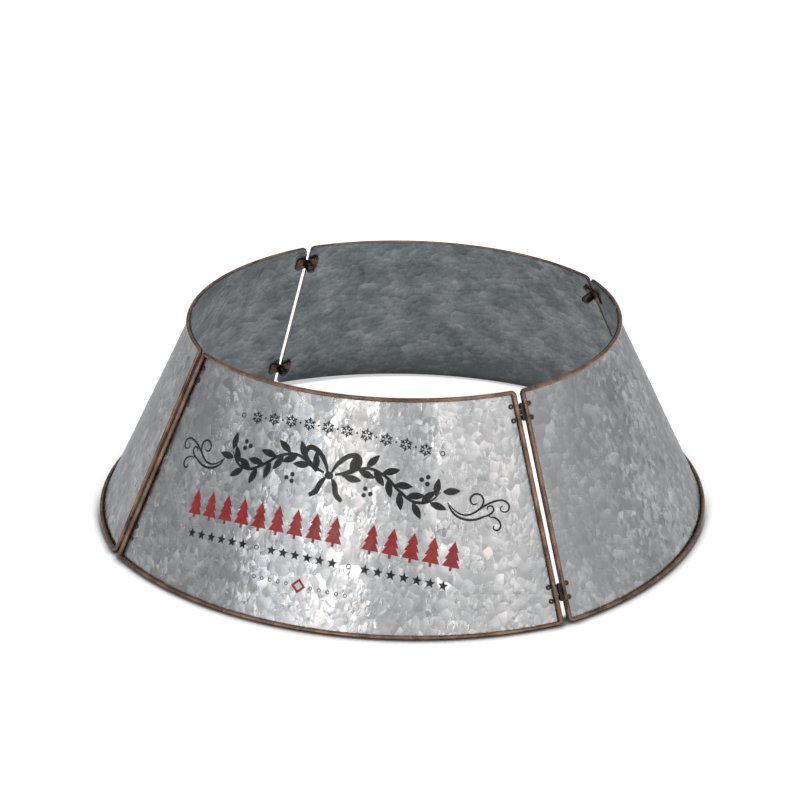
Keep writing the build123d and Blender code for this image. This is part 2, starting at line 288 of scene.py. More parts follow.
def makePrintTree():
    # A printed mark, or a row of them, laid on the front wall
    tree, add = startTree("printed_row", [
        ("Mark", "Object", None),
        ("Count", "Int", 1),
        ("Start", "Vector", None),
        ("Step", "Float", 0.0),
        ("Arch", "Float", 0.0),
        ("Tilt", "Float", 0.0),
        ("Pivot", "Vector", None),
        ("Lift", "Float", 0.0),
        ("Material", "Material", None),
    ])
    given = add("NodeGroupInput")
    stride = add("ShaderNodeCombineXYZ", links={0: given["Step"]})[0]
    line = add("GeometryNodeMeshLine", {"mode": "OFFSET"}, {
        "Count": given["Count"], "Start Location": given["Start"], "Offset": stride})[0]
    position = add("GeometryNodeInputPosition")[0]
    spot = add("ShaderNodeSeparateXYZ", links={0: position})
    bow = add("ShaderNodeMath", {"operation": "MULTIPLY"}, {0: spot[0], 1: spot[0]})[0]
    bow = add("ShaderNodeMath", {"operation": "MULTIPLY"}, {0: bow, 1: given["Arch"]})[0]
    bow = add("ShaderNodeCombineXYZ", links={1: bow})[0]
    line = add("GeometryNodeSetPosition", links={"Geometry": line, "Offset": bow})[0]
    mark = add("GeometryNodeObjectInfo", links={"Object": given["Mark"]})["Geometry"]
    row = add("GeometryNodeInstanceOnPoints", links={"Points": line, "Instance": mark})[0]
    whole = add("GeometryNodeRealizeInstances", links={0: row})[0]
    place = add("GeometryNodeInputPosition")[0]
    tilted = add("ShaderNodeVectorRotate", {"rotation_type": "Z_AXIS"}, {
        "Vector": place, "Center": given["Pivot"], "Angle": given["Tilt"]})[0]
    rolled = add("GeometryNodeGroup", {"node_tree": rollTree}, {
        "Flat": tilted, "Lift": given["Lift"], "Dent Share": 1.0, "Wall": 0.0})[0]
    moved = add("GeometryNodeSetPosition", links={"Geometry": whole, "Position": rolled})[0]
    done = add("GeometryNodeSetMaterial", links={
        "Geometry": moved, "Material": given["Material"]})[0]
    add("NodeGroupOutput", links={0: done})
    return tree


def makeLeafTree():
    # Leaves along a stem, turned out to its two sides by turns
    tree, add = startTree("leaves_on_stem", [
        ("Stem", "Object", None),
        ("Leaf", "Object", None),
        ("Spacing", "Float", 0.01),
        ("Spread", "Float", 0.7),
    ])
    given = add("NodeGroupInput")
    stem = add("GeometryNodeObjectInfo", links={"Object": given["Stem"]})["Geometry"]
    path = add("GeometryNodeMeshToCurve", links={0: stem})[0]
    path = add("GeometryNodeResampleCurve", {"mode": "LENGTH"}, {
        "Curve": path, "Length": given["Spacing"]})[0]
    tangent = add("GeometryNodeInputTangent")[0]
    ahead = add("FunctionNodeAlignRotationToVector", {"axis": "X"}, {"Vector": tangent})[0]
    index = add("GeometryNodeInputIndex")[0]
    odd = add("ShaderNodeMath", {"operation": "MODULO"}, {0: index, 1: 2.0})[0]
    side = add("ShaderNodeMath", {"operation": "MULTIPLY_ADD"}, {0: odd, 1: 2.0, 2: -1.0})[0]
    out = add("ShaderNodeMath", {"operation": "MULTIPLY"}, {0: side, 1: given["Spread"]})[0]
    spin = add("ShaderNodeCombineXYZ", links={2: out})[0]
    spin = add("FunctionNodeEulerToRotation", links={0: spin})[0]
    turned = add("FunctionNodeRotateRotation", {"rotation_space": "LOCAL"}, {
        0: ahead, 1: spin})[0]
    leaf = add("GeometryNodeObjectInfo", links={"Object": given["Leaf"]})["Geometry"]
    leaves = add("GeometryNodeInstanceOnPoints", links={
        "Points": path, "Instance": leaf, "Rotation": turned})[0]
    whole = add("GeometryNodeRealizeInstances", links={0: leaves})[0]
    done = add("GeometryNodeSetMaterial", links={"Geometry": whole})[0]
    add("NodeGroupOutput", links={0: done})
    return tree


def shapeByNodes(name, tree, values, thickness=None, offset=0.0):
    # Runs a tree once and keeps the result as a plain mesh
    holder = bpy.data.objects.new(name + "_work", bpy.data.meshes.new(name + "_work"))
    bpy.context.scene.collection.objects.link(holder)
    shaper = holder.modifiers.new("shape", "NODES")
    shaper.node_group = tree
    for socket in tree.interface.items_tree:
        if socket.name in values and socket.in_out == "INPUT":
            shaper[socket.identifier] = values[socket.name]
    if thickness:
        solid = holder.modifiers.new("thickness", "SOLIDIFY")
        solid.thickness, solid.offset = thickness, offset
    evaluated = holder.evaluated_get(bpy.context.evaluated_depsgraph_get())
    mesh = bpy.data.meshes.new_from_object(evaluated)
    mesh.name = name
    bpy.data.objects.remove(holder)
    if mesh.materials and not mesh.materials[0]:
        mesh.materials.pop(index=0)  # the empty slot that comes before a set one
    return mesh


# Finishes
def startMaterial(name):
    material = bpy.data.materials.new(name)
    material.use_nodes = True
    tree = material.node_tree
    tree.nodes.clear()
    return material, partial(addNode, tree)


def rampStops(node, stops):
    # Colour stops as (place, hex), the first two reuse the ramp's own
    ramp = node.color_ramp
    while len(ramp.elements) < len(stops):
        ramp.elements.new(0.5)
    for element, (place, code) in zip(ramp.elements, stops):
        element.position = place
        element.color = hexToLinear(code)


# What the zinc crystals of both faces share
zinc = {
    "ragSize": 9 * mm,  # of the noise that bends their edges
    "smallShare": 0.52,  # a small crystal against a large one
    "patchSize": 26 * mm,  # large and small ones lie in patches
    "patchEdge": (0.47, 0.53),
    "fernSize": (1.1 * mm, 5.5 * mm),
    "fernDepth": 0.05 * mm,
    "fernRange": (0.25, 0.75),
    "cloudRange": (0.3, 0.7),
    # painted light: the side of each crystal that is painted lighter, and how far across it
    "paintedLightSide": (0.4, 1.0, 0.0),
    "paintedLightReach": 0.45,
    "warmFrom": 0.55,
    "warmColour": "#f6e9e2",
}


def makeSpangle(name, look):
    # Hot-dip galvanised steel: zinc freezes in flat crystals, and each one
    # is its own grey and mirrors the light a little differently
    material, add = startMaterial(name)
    where = add("ShaderNodeAttribute", {"attribute_name": "sheetMap"})["Vector"]
    level = add("ShaderNodeSeparateXYZ", links={0: where})[1]
    where = add("ShaderNodeMapping", {"vector_type": "POINT"}, {
        "Vector": where, "Scale": (look["narrow"], 1.0, 1.0)})[0]
    blur = add("ShaderNodeTexNoise", inPlane, {
        "Vector": where, "Scale": 1 / zinc["ragSize"], "Detail": 3.0})["Color"]
    blur = add("ShaderNodeVectorMath", {"operation": "SUBTRACT"}, {
        0: blur, 1: (0.5, 0.5, 0.5)})[0]
    blur = add("ShaderNodeVectorMath", {"operation": "SCALE"}, {
        0: blur, "Scale": look["ragged"]})[0]
    bent = add("ShaderNodeVectorMath", {"operation": "ADD"}, {0: where, 1: blur})[0]
    large = add("ShaderNodeTexVoronoi", {"voronoi_dimensions": "2D"}, {
        "Vector": bent, "Scale": 1 / look["flake"]})
    small = add("ShaderNodeTexVoronoi", {"voronoi_dimensions": "2D"}, {
        "Vector": bent, "Scale": 1 / (look["flake"] * zinc["smallShare"])})
    patch = add("ShaderNodeTexNoise", inPlane, {
        "Vector": where, "Scale": 1 / zinc["patchSize"], "Detail": 2.0})[0]
    patch = add("ShaderNodeMapRange", links={
        0: patch, 1: zinc["patchEdge"][0], 2: zinc["patchEdge"][1]})[0]
    crystal = add("ShaderNodeMix", {"data_type": "RGBA"}, {
        0: patch, 6: large["Color"], 7: small["Color"]})[2]
    parts = add("ShaderNodeSeparateColor", links={0: crystal})
    # fern-like growth inside a crystal, turned its own way in each
    way = add("ShaderNodeMath", {"operation": "MULTIPLY"}, {0: parts[1], 1: math.tau})[0]
    turned = add("ShaderNodeVectorRotate", {"rotation_type": "Z_AXIS"}, {
        "Vector": where, "Angle": way})[0]
    stretched = add("ShaderNodeMapping", {"vector_type": "POINT"}, {
        "Vector": turned, "Scale": (1 / zinc["fernSize"][0], 1 / zinc["fernSize"][1], 1.0)})[0]
    fern = add("ShaderNodeTexNoise", inPlane, {
        "Vector": stretched, "Scale": 1.0, "Detail": 3.0})[0]
    cloud = add("ShaderNodeTexNoise", inPlane, {
        "Vector": where, "Scale": 1 / look["cloudSize"], "Detail": 2.0})[0]
    fernPart = add("ShaderNodeMapRange", links={
        0: fern, 1: zinc["fernRange"][0], 2: zinc["fernRange"][1],
        3: -look["fern"], 4: look["fern"]})[0]
    cloudPart = add("ShaderNodeMapRange", links={
        0: cloud, 1: zinc["cloudRange"][0], 2: zinc["cloudRange"][1],
        3: -look["cloud"], 4: look["cloud"]})[0]
    dome = add("ShaderNodeMix", {"data_type": "FLOAT"}, {
        0: patch, 2: large["Distance"], 3: small["Distance"]})[0]
    # painted shade: each crystal is painted lighter towards its upper side and darker below, as if
    # lit from above, like one scale over another
    heart = add("ShaderNodeMix", {"data_type": "VECTOR"}, {
        0: patch, 4: large["Position"], 5: small["Position"]})[1]
    heart = add("ShaderNodeVectorMath", {"operation": "SUBTRACT"}, {0: bent, 1: heart})[0]
    heart = add("ShaderNodeVectorMath", {"operation": "DOT_PRODUCT"}, {
        0: heart, 1: [side / look["flake"] for side in zinc["paintedLightSide"]]})["Value"]
    # the painted light and shade across each crystal
    scaleShadePart = add("ShaderNodeMapRange", links={
        0: heart, 1: -zinc["paintedLightReach"], 2: zinc["paintedLightReach"],
        3: -look["scaleShade"], 4: look["scaleShade"]})[0]
    # and the wall is painted darker towards its foot, as painted shade
    footShadePart = add("ShaderNodeMapRange", smooth, {
        0: level, 1: 0.0, 2: look["footShadeReach"], 3: -look["foot"], 4: 0.0})[0]
    tone = add("ShaderNodeMapRange", links={
        0: parts[0], 3: 0.5 - look["contrast"] / 2, 4: 0.5 + look["contrast"] / 2})[0]
    for part in (fernPart, cloudPart, scaleShadePart, footShadePart):
        tone = add("ShaderNodeMath", {"operation": "ADD"}, {0: tone, 1: part})[0]
    greys = add("ShaderNodeValToRGB", links={0: tone})[0]
    rampStops(greys.node, look["greys"])
    warmth = add("ShaderNodeMapRange", links={
        0: parts[2], 1: zinc["warmFrom"], 2: 1.0, 3: 0.0, 4: look["warmth"]})[0]
    colour = add("ShaderNodeMix", {"data_type": "RGBA", "blend_type": "MULTIPLY"}, {
        0: warmth, 6: greys, 7: hexToLinear(zinc["warmColour"])})[2]
    gloss = add("ShaderNodeMapRange", links={
        0: parts[1], 1: 0.0, 2: 1.0, 3: look["gloss"][0], 4: look["gloss"][1]})[0]
    # each crystal lies at its own slight tilt
    tip = add("ShaderNodeVectorMath", {"operation": "SUBTRACT"}, {
        0: crystal, 1: (0.5, 0.5, 0.5)})[0]
    share = add("ShaderNodeAttribute", {"attribute_name": "tiltShare"})["Fac"]
    share = add("ShaderNodeMath", {"operation": "MULTIPLY"}, {0: share, 1: look["tilt"]})[0]
    tip = add("ShaderNodeVectorMath", {"operation": "SCALE"}, {0: tip, "Scale": share})[0]
    normal = add("ShaderNodeNewGeometry")["Normal"]
    normal = add("ShaderNodeVectorMath", {"operation": "ADD"}, {0: normal, 1: tip})[0]
    normal = add("ShaderNodeVectorMath", {"operation": "NORMALIZE"}, {0: normal})[0]
    domed = add("ShaderNodeBump", {"invert": True}, {
        "Strength": 1.0, "Distance": look["dome"], "Height": dome, "Normal": normal})[0]
    grain = add("ShaderNodeBump", links={
        "Strength": look["grain"], "Distance": zinc["fernDepth"], "Height": fern,
        "Normal": domed})[0]
    shader = add("ShaderNodeBsdfPrincipled", links={
        "Base Color": colour, "Metallic": 1.0, "Roughness": gloss, "Normal": grain,
        "Specular Tint": look["rimTint"]})[0]
    add("ShaderNodeOutputMaterial", links={0: shader})
    return material


# Bright spangled zinc on the walls' outer faces, dulled by weather
outside = {
    "flake": 11.0 * mm,
    "narrow": 1.35,  # crystals are taller than wide
    "ragged": 4.2 * mm,
    "greys": [(0.0, "#999b9d"), (0.45, "#a2a4a6"), (0.75, "#afb1b3"), (1.0, "#c2c3c4")],
    "contrast": 0.62,
    "scaleShade": 0.22,
    "foot": 0.0,
    "footShadeReach": 60 * mm,  # how far up the wall the painted foot shade goes
    "fern": 0.10,
    "cloud": 0.22,
    "cloudSize": 60 * mm,
    "warmth": 0.12,
    "gloss": (0.21, 0.38),
    "tilt": 0.13,
    "dome": 0.20 * mm,
    "grain": 0.12,
    "rimTint": (0.46, 0.46, 0.46, 1.0),  # weathered zinc dulls at a low angle
}
# The same zinc on the inner faces and edges as a painted-shade copy: darker, greyer and rougher
shadedInside = {
    "flake": 9.5 * mm,
    "narrow": 1.0,
    "ragged": 5.5 * mm,
    "greys": [(0.0, "#4b5053"), (0.3, "#5b6063"), (0.6, "#6b7072"), (1.0, "#828688")],
    "contrast": 0.24,
    "scaleShade": 0.17,
    # painted shade: the inner faces are painted darker towards their foot
    "foot": 0.60,
    "footShadeReach": 80 * mm,
    "fern": 0.12,
    "cloud": 0.25,
    "cloudSize": 34 * mm,
    "warmth": 0.1,
    "gloss": (0.36, 0.50),
    "tilt": 0.10,
    "dome": 0.34 * mm,
    "grain": 0.3,
    "rimTint": (1.0, 1.0, 1.0, 1.0),
}


coating = {
    "rubEdge": 0.08,
    "creaseRange": (0.35, 0.95),  # how open a place is, from deep in to clear
    "glossRange": (0.3, 0.7),
}


def makeCoated(name, look):
    # One recipe for patinated, plated, moulded and enamelled parts: a mottled base, rubbed places,
    # and painted shade with grime in the creases, on object coordinates
    material, add = startMaterial(name)
    where = add("ShaderNodeTexCoord")["Object"]
    mottle = add("ShaderNodeTexNoise", links={
        "Vector": where, "Scale": 1 / look["mottle"], "Detail": 5.0, "Roughness": 0.62})[0]
    colours = add("ShaderNodeValToRGB", links={0: mottle})[0]
    rampStops(colours.node, look["colours"])
    rub = add("ShaderNodeTexNoise", links={
        "Vector": where, "Scale": 1 / look["rub"], "Detail": 4.0, "Roughness": 0.7})[0]
    rub = add("ShaderNodeMapRange", links={
        0: rub, 1: look["rubFrom"], 2: look["rubFrom"] + coating["rubEdge"],
        3: 0.0, 4: look["rubShare"]})[0]
    colour = add("ShaderNodeMix", {"data_type": "RGBA"}, {
        0: rub, 6: colours, 7: hexToLinear(look["rubColour"])})[2]
    # painted shade, partly grime: the colour is darkened where ambient occlusion finds a crease
    crease = add("ShaderNodeAmbientOcclusion", {"samples": 12}, {
        "Distance": look["creaseReach"]})["AO"]
    grime = add("ShaderNodeMapRange", links={
        0: crease, 1: coating["creaseRange"][0], 2: coating["creaseRange"][1],
        3: look["grime"], 4: 0.0})[0]
    colour = add("ShaderNodeMix", {"data_type": "RGBA"}, {
        0: grime, 6: colour, 7: hexToLinear(look["grimeColour"])})[2]
    gloss = add("ShaderNodeMapRange", links={
        0: mottle, 1: coating["glossRange"][0], 2: coating["glossRange"][1],
        3: look["gloss"][0], 4: look["gloss"][1]})[0]
    grain = add("ShaderNodeTexNoise", links={
        "Vector": where, "Scale": 1 / look["grainSize"], "Detail": 3.0})[0]
    bump = add("ShaderNodeBump", links={
        "Strength": look["grain"], "Distance": look["grainDepth"], "Height": grain})[0]
    shader = add("ShaderNodeBsdfPrincipled", links={
        "Base Color": colour, "Metallic": look["metallic"], "Roughness": gloss,
        "IOR": look["index"], "Normal": bump})[0]
    add("ShaderNodeOutputMaterial", links={0: shader})
    return material


# how far the painted crease shade with grime reaches, how strong it is and its colour
usual = {"index": 1.5, "creaseReach": 4 * mm, "grime": 0.8, "grimeColour": "#1c1613"}
finishes = {
    # Steel wire with a rust-brown patina: satin, blotchy, bright where rubbed
    "patinatedWire": {
        "mottle": 22 * mm,
        "colours": [(0.30, "#4a3b33"), (0.48, "#705849"), (0.60, "#876b5a"), (0.74, "#977d6d")],
        "rub": 7 * mm, "rubFrom": 0.60, "rubShare": 0.55, "rubColour": "#b09887",
        "gloss": (0.22, 0.36), "grainSize": 1.6 * mm, "grainDepth": 0.12 * mm, "grain": 0.5,
        "metallic": 0.8, "creaseReach": 2.5 * mm, "grime": 0.45, "grimeColour": "#241d1a",
    },
    # Stamped steel plate with the same patina, browner and duller
    "patinatedPlate": {
        "mottle": 9 * mm,
        "colours": [(0.30, "#2a1d12"), (0.47, "#47311f"), (0.60, "#63452a"), (0.75, "#74563a")],
        "rub": 4 * mm, "rubFrom": 0.62, "rubShare": 0.5, "rubColour": "#8f7656",
        "gloss": (0.40, 0.55), "grainSize": 1.2 * mm, "grainDepth": 0.10 * mm, "grain": 0.5,
        "metallic": 0.45,
    },
    # Black zinc-plated hardware: half gloss, greyer where it rubs
    "blackPlatedSteel": {
        "mottle": 6 * mm,
        "colours": [(0.35, "#141416"), (0.55, "#202023"), (0.75, "#2c2b2c")],
        "rub": 2.5 * mm, "rubFrom": 0.62, "rubShare": 0.5, "rubColour": "#4d4a48",
        "gloss": (0.30, 0.45), "grainSize": 0.8 * mm, "grainDepth": 0.05 * mm, "grain": 0.35,
        "metallic": 0.35,
    },
    # Moulded black plastic: glossy, with faint handling marks
    "mouldedBlackPlastic": {
        "mottle": 7 * mm,
        "colours": [(0.35, "#0f0f10"), (0.55, "#151516"), (0.80, "#1b1b1c")],
        "rub": 3 * mm, "rubFrom": 0.66, "rubShare": 0.3, "rubColour": "#2e2e30",
        "gloss": (0.17, 0.27), "grainSize": 2.0 * mm, "grainDepth": 0.03 * mm, "grain": 0.25,
        "metallic": 0.0, "grime": 0.3, "grimeColour": "#0a0a0a",
    },
    # Steel rivets darkened by handling: brown-grey, with painted shade in the bore
    "tarnishedRivetSteel": {
        "mottle": 2.2 * mm,
        "colours": [(0.33, "#2a2522"), (0.50, "#453c36"), (0.70, "#655a51")],
        "rub": 1.4 * mm, "rubFrom": 0.60, "rubShare": 0.5, "rubColour": "#8b8178",
        "gloss": (0.34, 0.50), "grainSize": 0.5 * mm, "grainDepth": 0.04 * mm, "grain": 0.4,
        "metallic": 0.8,
    },
}
# Screen-printed enamel: smooth and half gloss, thin enough to rub pale here and there
enamel = {
    "mottle": 16 * mm, "rub": 2.2 * mm, "gloss": (0.22, 0.32), "grainSize": 1.5 * mm,
    "grainDepth": 0.03 * mm, "grain": 0.3, "metallic": 0.0, "index": 1.36,
    "creaseReach": 1 * mm, "grime": 0.0, "grimeColour": "#1b1c1e",
}
finishes["blackPrintEnamel"] = {
    **enamel, "colours": [(0.35, "#121315"), (0.60, "#191a1c"), (0.80, "#222325")],
    "rubFrom": 0.66, "rubShare": 0.4, "rubColour": "#5c6063",
}
finishes["redPrintEnamel"] = {
    **enamel, "colours": [(0.35, "#7f1f22"), (0.60, "#8d2a2b"), (0.80, "#9a3938")],
    "rubFrom": 0.64, "rubShare": 0.5, "rubColour": "#b98a88",
}
materials = {name: makeCoated(name, {**usual, **look}) for name, look in finishes.items()}
galvanised = makeSpangle("galvanisedSpangle", outside)
galvanisedShadedInside = makeSpangle("galvanisedShadedInside", shadedInside)
print("finishes ready:", len(materials) + 2)

slotFinish = {
    "aged_rim": "patinatedWire",
    "aged_plate": "patinatedPlate",
    "black_hardware": "blackPlatedSteel",
    "black_knob": "mouldedBlackPlastic",
    "rivet_steel": "tarnishedRivetSteel",
}
for row in frame["record"]["subparts"]:
    node = frame["nodes"][row["node"]]
    finish = slotFinish.get(row["material_slot"])
    if finish:
        node.data.materials.clear()
        node.data.materials.append(materials[finish])
print("solids dressed")

# Sheets
sheetTree = makeSheetTree()
for number, wallName in enumerate(wallNames):
    mesh = shapeByNodes(wallName + "_hammered_sheet", sheetTree, {
        "Columns": sheet["columns"], "Rows": sheet["rows"],
        "Wall": float(number), "Material": galvanised}, ring["sheetThickness"], 0.0)
    # the inner faces take the painted-shade copy of the zinc
    mesh.materials.append(galvanisedShadedInside)
    total = len(mesh.polygons)
    normals, middles = np.empty(total * 3), np.empty(total * 3)
    mesh.polygons.foreach_get("normal", normals)
    mesh.polygons.foreach_get("center", middles)
    flatMiddles = middles.reshape(-1, 3)[:, :2]
    outward = (normals.reshape(-1, 3)[:, :2] * flatMiddles).sum(axis=1)
    outward /= np.hypot(*flatMiddles.T)
    mesh.polygons.foreach_set("material_index", (outward < sheet["outsideFrom"]).astype(np.int32))
    mesh.polygons.foreach_set("use_smooth", np.ones(total, bool))
    mesh.set_sharp_from_angle(angle=sheet["sharpFrom"])
    mesh.update()
    wall = bpy.data.objects.new(wallName + "_hammered_sheet", mesh)
    bpy.context.scene.collection.objects.link(wall)
    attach(wall, bodyOfWall[wallName])
    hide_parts(wallName + "_sheet")
    print("sheet ready:", wallName, total, "faces")


# Print
pen = {
    "step": 1.4 * mm,
    "perSpan": 24,  # fine steps between two given points, before they are evened
    "taper": 0.22,  # of a stroke's length, at each end
}


def smoothLine(points):
    # Catmull-Rom through the points, then even steps
    points = [Vector((x, y, 0.0)) for x, y in points]
    ends = [2 * points[0] - points[1], *points, 2 * points[-1] - points[-2]]
    dense = []
    for a, b, c, d in zip(ends, ends[1:], ends[2:], ends[3:]):
        for i in range(pen["perSpan"]):
            t = i / pen["perSpan"]
            dense.append(0.5 * (2 * b + (c - a) * t + (2 * a - 5 * b + 4 * c - d) * t**2
                                + (3 * b - 3 * c + d - a) * t**3))
    dense.append(points[-1])
    ways = [0.0]
    for first, second in zip(dense, dense[1:]):
        ways.append(ways[-1] + (second - first).length)
    count = max(4, round(ways[-1] / pen["step"]))
    even = np.linspace(0, ways[-1], count + 1)
    return [Vector((np.interp(w, ways, [p.x for p in dense]),
                    np.interp(w, ways, [p.y for p in dense]), 0.0)) for w in even]


def addStroke(mesh, points, width, ends):
    # A pen stroke: full width in its middle, thinner to its two ends
    line = smoothLine(points)
    last = len(line) - 1
    rows = []
    for i, point in enumerate(line):
        ahead = (line[min(i + 1, last)] - line[max(i - 1, 0)]).normalized()
        share = i / last
        full = min(1.0, ends[0] + (1 - ends[0]) * min(1, share / pen["taper"]),
                   ends[1] + (1 - ends[1]) * min(1, (1 - share) / pen["taper"]))
        side = Vector((-ahead.y, ahead.x, 0.0)) * width * full / 2
        rows.append([mesh.verts.new(point - side), mesh.verts.new(point + side)])
    for (a, b), (c, d) in zip(rows, rows[1:]):
        mesh.faces.new((a, c, d, b))


def addOutline(mesh, points):
    mesh.faces.new([mesh.verts.new((x, y, 0.0)) for x, y in points])


def addRing(mesh, outer, inner, corners):
    loops = []
    for radius in (inner, outer):
        loops.append([mesh.verts.new((
            radius * math.cos(math.tau * i / corners),
            radius * math.sin(math.tau * i / corners), 0.0)) for i in range(corners)])
    for i in range(corners):
        j = (i + 1) % corners
        mesh.faces.new((loops[0][i], loops[1][i], loops[1][j], loops[0][j]))


def addOval(mesh, middle, radii, corners):
    # Sizes in millimetres
    addOutline(mesh, [((middle[0] + radii[0] * math.cos(math.tau * i / corners)) * mm,
                       (middle[1] + radii[1] * math.sin(math.tau * i / corners)) * mm)
                      for i in range(corners)])


def turnFacesUp(mesh):
    for face in mesh.faces:
        if face.normal.z < 0:
            face.normal_flip()


def flatMark(name, build):
    # A flat mark in drawing coordinates, cut fine enough to bend with the wall
    shape = bmesh.new()
    build(shape)
    shape.normal_update()
    bmesh.ops.triangulate(shape, faces=shape.faces, ngon_method="EAR_CLIP")
    for axis, normal in enumerate(((1, 0, 0), (0, 1, 0))):
        low = min(v.co[axis] for v in shape.verts)
        high = max(v.co[axis] for v in shape.verts)
        cuts = int((high - low) / printing["cell"])
        for i in range(1, cuts + 1):
            spot = [0.0, 0.0, 0.0]
            spot[axis] = low + i * printing["cell"]
            bmesh.ops.bisect_plane(
                shape, geom=[*shape.verts, *shape.edges, *shape.faces],
                plane_co=spot, plane_no=normal, dist=printing["cutNear"])
    bmesh.ops.remove_doubles(shape, verts=shape.verts, dist=printing["joinNear"])
    shape.normal_update()
    turnFacesUp(shape)
    mesh = bpy.data.meshes.new(name)
    shape.to_mesh(mesh)
    shape.free()
    return bpy.data.objects.new(name, mesh)


printing = {
    "cell": 2.2 * mm,  # how fine a mark is cut
    "cutNear": 1e-7,
    "joinNear": 1e-6,
    "lift": 0.47 * mm,  # from the middle of the sheet
    "thickness": 0.10 * mm,
    "tilt": math.radians(-3.2),
    "pivot": (0.0, 110 * mm, 0.0),
}

fir = {
    "height": 29 * mm,
    "outline": [(0.045, 0), (0.045, 0.13), (0.30, 0.13), (0.16, 0.38), (0.245, 0.38),
                (0.12, 0.63), (0.185, 0.63), (0, 1)],
}


def buildFir(mesh):
    right = [(x * fir["height"], y * fir["height"]) for x, y in fir["outline"]]
    left = [(-x, y) for x, y in reversed(right[:-1])]
    addOutline(mesh, right + left)


def starPoints(radius, inner, points):
    outline = []
    for i in range(points * 2):
        angle = math.pi / 2 + math.pi * i / points
        r = inner if i % 2 else radius
        outline.append((r * math.cos(angle), r * math.sin(angle)))
    return outline


# A snow star, its sizes in millimetres
snowStar = {
    "arms": 6,
    "start": 1.4,  # leaves a gap between the arms
    "reach": 5.8,
    "width": 1.5,
    "barbFrom": 0.62,  # of an arm's length
    "barb": (1.9, 0.9),  # sideways and outwards
    "barbGap": 0.05,
    "barbHalf": 0.55,
}


def buildFlake(mesh):
    arm, width = snowStar["reach"] * mm, snowStar["width"] * mm
    for i in range(snowStar["arms"]):
        angle = math.pi / 2 + i * math.tau / snowStar["arms"]
        out = Vector((math.cos(angle), math.sin(angle), 0.0))
        side = Vector((-out.y, out.x, 0.0))
        near, far = out * snowStar["start"] * mm, out * arm
        corners = [near - side * width / 2, far - side * width / 2,
                   far + out * width / 2, far + side * width / 2, near + side * width / 2]
        addOutline(mesh, [(c.x, c.y) for c in corners])
        barb = out * arm * snowStar["barbFrom"]
        for hand in (-1, 1):
            bud = barb + side * hand * snowStar["barb"][0] * mm + out * snowStar["barb"][1] * mm
            root = barb + side * hand * (width / 2 + snowStar["barbGap"] * mm)
            along = (bud - root).normalized()
            across = Vector((-along.y, along.x, 0.0)) * snowStar["barbHalf"] * mm
            quad = [root - across, bud - across, bud + across, root + across]
            addOutline(mesh, [(c.x, c.y) for c in quad])


smallMarks = {
    "star": (5.2 * mm, 2.3 * mm),  # outer and inner radius, of all but the dot
    "bead": (2.5 * mm, 1.6 * mm),
    "tinyBead": (1.9 * mm, 1.2 * mm),
    "diamond": (7.4 * mm, 4.2 * mm),
    "dot": 1.0,  # mm
}


def buildSmallStar(mesh):
    addOutline(mesh, starPoints(*smallMarks["star"], 5))


def buildBead(mesh):
    addRing(mesh, *smallMarks["bead"], 20)


def buildTinyBead(mesh):
    addRing(mesh, *smallMarks["tinyBead"], 18)


def buildDiamond(mesh):
    addRing(mesh, *smallMarks["diamond"], 4)


def buildDot(mesh):
    addOval(mesh, (0, 0), (smallMarks["dot"], smallMarks["dot"]), 12)


def scroll(mesh, side):
    # A scroll beside the garland, in drawing coordinates from the middle
    def at(points):
        return [(side * x * mm, y * mm) for x, y in points]
    addStroke(mesh, at([(116.5, 143.5), (121, 137), (128, 132.6), (137, 131.4),
                        (146, 133.6), (154, 138.4), (158.5, 139.5)]), 2.3 * mm, (0.5, 0.4))
    addStroke(mesh, at([(118.5, 141.8), (124, 137.8), (131, 135.4), (138, 136.4), (144, 140.4),
                        (149.5, 146), (156, 151.5), (163, 155.5), (169.5, 156.9),
                        (174.8, 154.2), (175.6, 149.4), (172.6, 146.4), (168.6, 146.9),
                        (167.4, 149.8), (169.2, 151.6)]), 2.0 * mm, (0.5, 0.5))
    addStroke(mesh, at([(145.5, 142.6), (149.2, 147.5), (149.6, 153.5), (145.6, 157.4),
                        (140, 156.8), (137, 152.4), (138.2, 148.2), (141.8, 147),
                        (144.2, 149)]), 2.0 * mm, (0.4, 0.6))
    addStroke(mesh, at([(152.6, 137.4), (158.6, 141.6), (161.2, 146), (158.6, 149.2),
                        (155, 148), (154.9, 145.1)]), 1.8 * mm, (0.5, 0.6))
    addStroke(mesh, at([(158, 138.6), (164, 138.8), (169.2, 135.8), (170.6, 130.8),
                        (167.6, 127.4), (163.9, 128.6), (164.3, 131.6)]), 1.9 * mm, (0.5, 0.6))


def buildScrolls(mesh):
    scroll(mesh, 1)
    scroll(mesh, -1)


garland = {
    "stem": [(13, 148), (24, 156), (38, 160.5), (54, 156), (68, 146), (84, 138), (99, 141),
             (108, 152)],
    "stemWidth": 3.0 * mm,
    "leafLength": 17.5 * mm,
    "leafWidth": 8.0 * mm,
    "leafGap": 1.7 * mm,
    "spacing": 7.8 * mm,
    "spread": math.radians(40),
    "loopWidth": 5.0 * mm,
    "tailWidth": 5.4 * mm,
    "knot": (4.4, 3.7),  # mm, as the berries
    "berry": 2.3,
    "berries": [(37, 141), (42.6, 137), (36.6, 134.6), (88, 160), (93.6, 163.6), (94, 157)],
}


def buildLeaf(mesh):
    # A narrow pointed leaf that starts a little off its stem
    count = 9
    upper = []
    for i in range(count + 1):
        t = i / count
        belly = math.sin(math.pi * t) ** 0.8 * (1 - 0.25 * t)
        upper.append((garland["leafGap"] + garland["leafLength"] * t,
                      garland["leafWidth"] / 2 * belly))
    lower = [(x, -y) for x, y in reversed(upper[1:-1])]
    addOutline(mesh, [*reversed(upper), *reversed(lower)])


